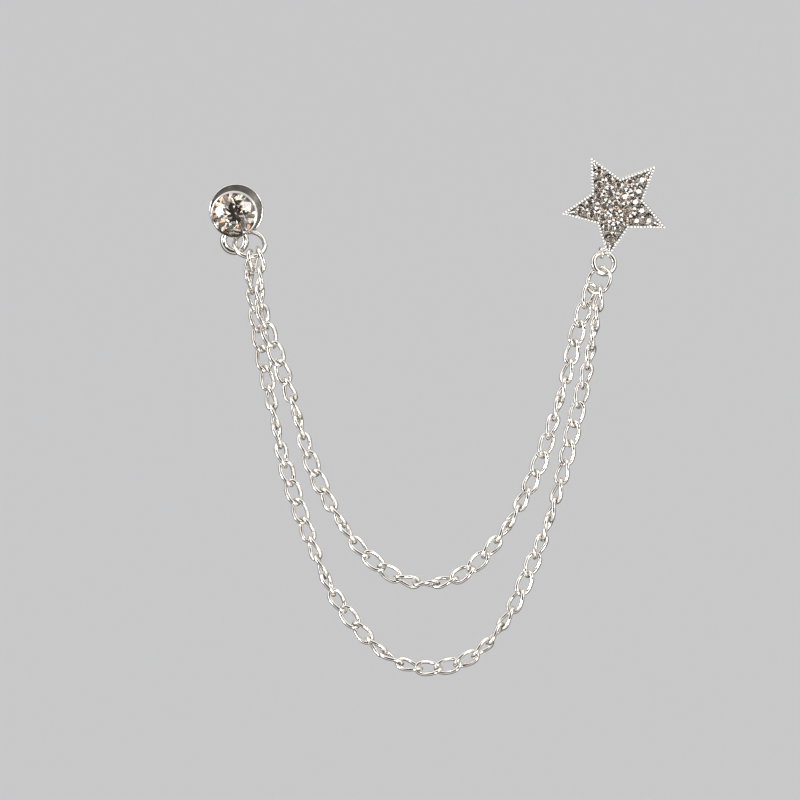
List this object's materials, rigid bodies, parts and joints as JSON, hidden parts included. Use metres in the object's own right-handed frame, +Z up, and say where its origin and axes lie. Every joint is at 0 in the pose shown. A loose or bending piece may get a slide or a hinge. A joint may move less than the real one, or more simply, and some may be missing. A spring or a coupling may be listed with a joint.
{
  "type": "lapel chain",
  "caption": "Open star pin set with small round stones, joined by two hanging curb chain strands to a round stone-set stud.",
  "frame": {"origin": "where the star's post goes through the cloth, the plane y = 0", "axes": "+Z up as worn, -Y the front that faces the viewer, +X the viewer's right"},
  "size_m": [0.0867, 0.0177, 0.0986],
  "materials": {
    "silver": "polished",
    "crystal": "cut and polished"
  },
  "bodies": {
    "root": {"star_setting": "silver", "star_stones": "crystal", "star_ring": "silver", "right_link": "silver", "outer_strand": "silver", "inner_strand": "silver", "left_ring": "silver", "stud_setting": "silver", "stud_stone": "crystal"}
  },
  "joints": []
}
